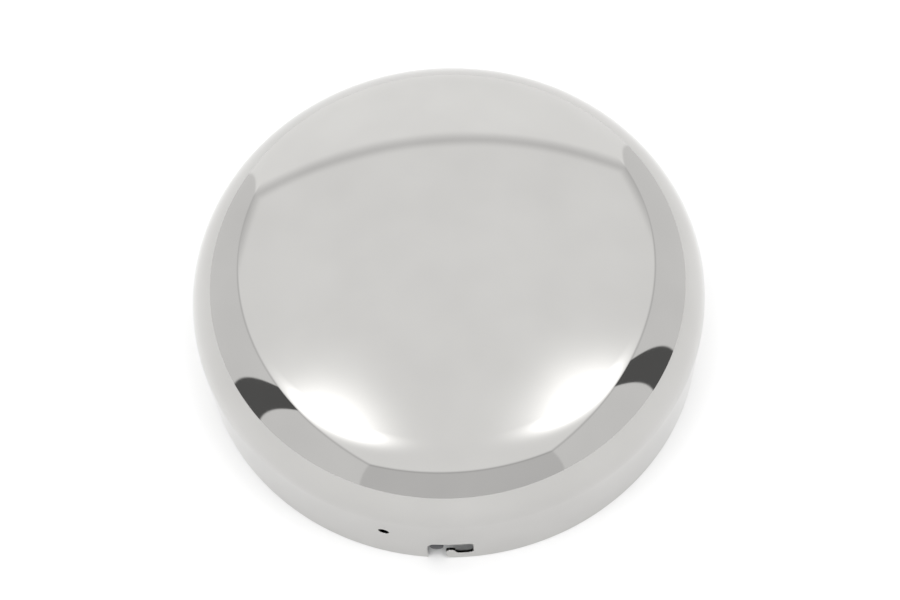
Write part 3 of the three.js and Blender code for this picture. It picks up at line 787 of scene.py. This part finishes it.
def add_studs():
    """Each stud is drawn along +Z with the skirt's outside at 0, then laid pointing outwards."""
    pin_end = -STUD_LOW[1] - PLATE_RADIUS
    inner_end = -STUD_HIGH[1] - PLATE_RADIUS
    shank = np.linspace(inner_end + 0.4, -0.4, 72)
    stud = np.concatenate([
        [[0, inner_end], [1.9, inner_end]],
        np.stack([0 * shank + 2.3, shank], 1),
        rounded([
            (2.3, 0, 0, 0), (2.3, 0.3, 0.1, 0.1), (4.2, 0.3, 0.25, 0.25), (4.2, 2, 0.25, 0.25),
            (2.4, 2, 0.2, 0.2), (2.4, pin_end, 0.5, 0.5), (0, pin_end, 0, 0),
        ], steps=5),
    ])
    cut = thread(inner_end, -0.5, 0.75, 0.4)
    washer = bar(STUD_HOLE, 4.2, -2.6, -1.7, 0.15)
    nut = rounded([
        (2.5, -6.3, 0.4, 0.4), (3.9, -6.3, 0, 0), (4.62, -5.9, 0, 0), (4.62, -3.3, 0, 0),
        (3.9, -2.9, 0, 0), (2.5, -2.9, 0.4, 0.4),
    ], steps=3, closed=True)
    nut = fine_heights(np.concatenate([nut, nut[:1]]), -7, -2)[:-1]
    for i, turn in enumerate(SLOT_TURNS):
        place = {"turn": turn, "offset": (0, -PLATE_RADIUS, STUD_HEIGHT), "outwards": True}
        make(f"pin_stud_{i + 1}", *moved(turned(stud, 64, cut), **place), "black_oxide", "base",
             f"bayonet_stud_{i + 1}", soft_angle=40)
        make(f"plain_washer_{i + 1}", *moved(turned(washer, 48), **place), "zinc_plate", "base",
             f"stud_washer_{i + 1}")
        make(f"hexagon_nut_{i + 1}", *moved(turned(nut, 72, hexagon(8)), **place), "zinc_plate",
             "base", f"stud_nut_{i + 1}", soft_angle=28)


def finish_cad_nodes():
    """The pieces whose CAD shape is shown as it is: the clip and the tab plates."""
    for cad_node, finish in (
        ("pivot_clip", SPRING), ("tab_plate_1", ZINC), ("tab_plate_2", ZINC),
    ):
        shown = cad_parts[cad_node]
        shown.data.materials.clear()
        shown.data.materials.append(finish)


# ---- stage: a white table top and a white fabric tent with two lamps outside it ----
TABLE_RADIUS = 1100.0


def add_table():
    """A pale matt table top, a flat disc."""
    t = np.linspace(0, TAU, 129)[:-1]
    rim = np.stack([TABLE_RADIUS * np.cos(t), TABLE_RADIUS * np.sin(t), 0 * t - 0.02], 1)
    table = bpy.data.objects.new("table_top", mesh_of("table_top", rim, [list(range(128))]))
    bpy.context.collection.objects.link(table)
    material, _, shader, _ = new_material("matt_white_laminate")
    shader.inputs["Base Color"].default_value = linear("F5F5F5")
    shader.inputs["Roughness"].default_value = 0.7
    shader.inputs["Specular IOR Level"].default_value = 0.2
    table.data.materials.append(material)


# The tent is a plain box with the housing at its middle: half its width, half its depth, height.
TENT_WIDTH, TENT_DEPTH, TENT_HEIGHT = 900.0, 1300.0, 950.0
CEILING, FAR_WALL, SIDE_WALL, NEAR_WALL = 1.3, 1.4, 1.1, 0.9
SEAM_SHADE = 0.25
# A lamp on each side, a little behind the camera, and an open slit below it. Angles in degrees.
LAMP_TURN, LAMP_RISE, LAMP_SPREAD, LAMP_STRENGTH = 110, 60, 10, 5.0
SLIT_START, SLIT_END, SLIT_LEVEL = 92, 106, 0.15


def add_tent():
    """The world is the inside of a box-shaped white tent, as a brightness for each direction
    (x right, y away, z up), turned to face the camera. A direction meets a side wall or an end
    wall, whichever of |x| / width and |y| / depth is larger, and passes over its top edge where
    z / height is larger still."""
    world = bpy.data.worlds.new("light_tent")
    bpy.context.scene.world = world
    world.use_nodes = True
    tree = world.node_tree
    tree.nodes.clear()

    def sums(operation, *values):
        return node(tree, "ShaderNodeMath", dict(enumerate(values)), operation=operation)

    def step(value, start, end, low=0.0, high=1.0):
        """Goes softly from low to high as the value goes from start to end."""
        return node(tree, "ShaderNodeMapRange", {
            "Value": value, "From Min": start, "From Max": end, "To Min": low, "To Max": high,
        }, interpolation_type="SMOOTHSTEP")

    way = node(tree, "ShaderNodeMapping", {
        "Vector": node(tree, "ShaderNodeTexCoord").outputs["Generated"],
        "Rotation": (0, 0, -CAMERA_TURN),
    })
    x, y, z = node(tree, "ShaderNodeSeparateXYZ", {0: way}).outputs
    to_side = sums("MULTIPLY", sums("ABSOLUTE", x), TENT_HEIGHT / TENT_WIDTH)
    to_end = sums("MULTIPLY", sums("ABSOLUTE", y), TENT_HEIGHT / TENT_DEPTH)
    above = sums("SUBTRACT", z, sums("MAXIMUM", to_side, to_end))

    end_wall = step(y, -0.1, 0.1, NEAR_WALL, FAR_WALL)
    wall = node(tree, "ShaderNodeMix", {
        "Factor": step(sums("SUBTRACT", to_end, to_side), -0.01, 0.01), "A": SIDE_WALL,
        "B": end_wall,
    })
    turn = sums("MULTIPLY", sums("ABSOLUTE", sums("ARCTAN2", x, y)), 180 / np.pi)
    slit = sums("MULTIPLY", step(turn, SLIT_START - 0.5, SLIT_START + 0.5),
                step(turn, SLIT_END + 0.5, SLIT_END - 0.5))
    wall = node(tree, "ShaderNodeMix", {"Factor": slit, "A": wall, "B": SLIT_LEVEL})

    # Each lamp adds strength exp(-2 (1 - cos a) / spread squared), a being the angle from it.
    ceiling = CEILING
    rise, sharpness = np.radians(LAMP_RISE), 2 / np.radians(LAMP_SPREAD) ** 2
    for side in np.radians([-LAMP_TURN, LAMP_TURN]):
        centre = (np.cos(rise) * np.sin(side), np.cos(rise) * np.cos(side), np.sin(rise))
        aim = node(tree, "ShaderNodeVectorMath", {0: way, 1: centre}, operation="DOT_PRODUCT")
        fall = sums("MULTIPLY_ADD", aim.outputs["Value"], sharpness, -sharpness)
        ceiling = sums("MULTIPLY_ADD", sums("EXPONENT", fall), LAMP_STRENGTH, ceiling)
    inside = node(tree, "ShaderNodeMix", {
        "Factor": step(above, -0.01, 0.01), "A": wall, "B": ceiling,
    })
    seam = step(sums("ABSOLUTE", above), 0.0, 0.05, 1 - SEAM_SHADE, 1.0)

    # The camera itself sees a plain pale backdrop past the table.
    tent = node(tree, "ShaderNodeBackground", {"Color": sums("MULTIPLY", inside, seam)})
    plain = node(tree, "ShaderNodeBackground", {"Color": linear("FFFFFF")})
    seen = node(tree, "ShaderNodeMixShader", {
        0: node(tree, "ShaderNodeLightPath").outputs["Is Camera Ray"], 1: tent, 2: plain,
    })
    node(tree, "ShaderNodeOutputWorld", {"Surface": seen})


add_camera()
add_cover()
add_pivot()
add_hold_down()
add_element()
add_plate()
add_carburettor_joint()
add_studs()
finish_cad_nodes()
add_table()
add_tent()
bpy.context.scene.view_settings.view_transform = "Standard"
